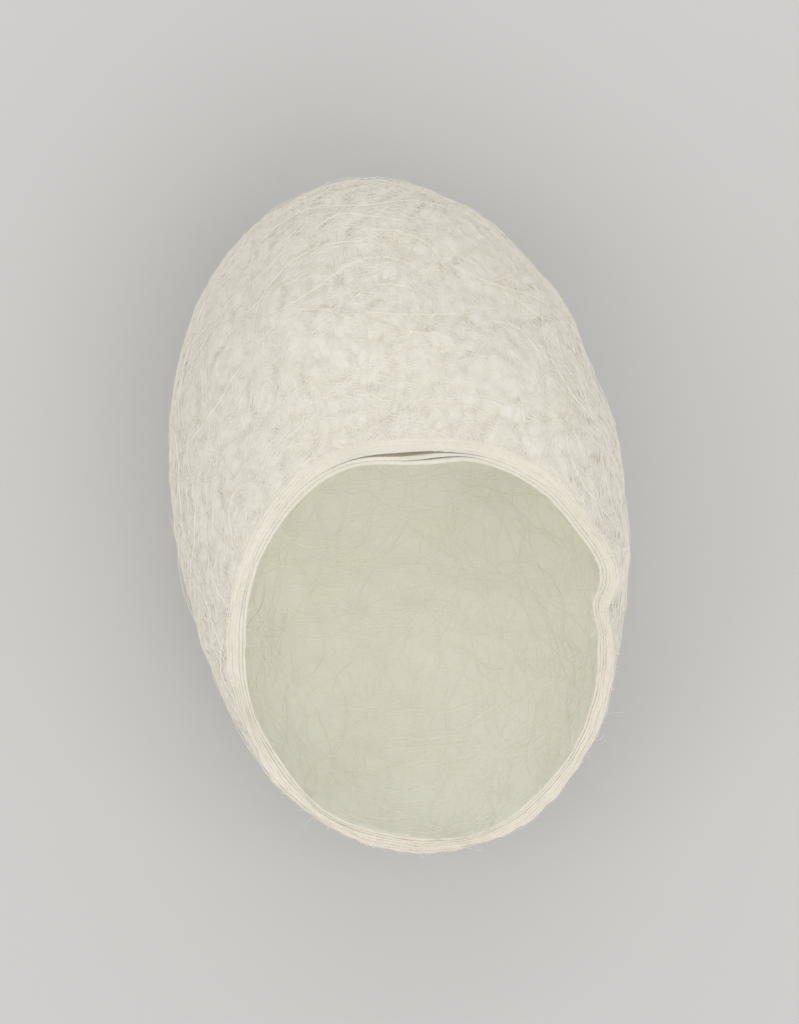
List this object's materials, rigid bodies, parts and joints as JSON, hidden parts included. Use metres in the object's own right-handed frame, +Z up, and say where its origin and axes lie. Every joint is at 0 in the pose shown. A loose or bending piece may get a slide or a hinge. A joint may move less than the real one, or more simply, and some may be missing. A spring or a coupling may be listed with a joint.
{
  "type": "silk cocoon",
  "caption": "Oval hollow silk cocoon with its end cut open at a slant, lying on its side.",
  "frame": {"origin": "bottom centre of the cocoon's bounding box, on the surface that it rests on", "axes": "+Z up; +Y along the cocoon towards its closed end; the mouth is at -Y and faces up and outwards"},
  "size_m": [0.0214, 0.0324, 0.0209],
  "materials": {
    "silk": "matt off-white raw silk, finely crinkled outside, smoother and creamier inside"
  },
  "bodies": {
    "root": {"cocoon": "silk"}
  },
  "joints": []
}
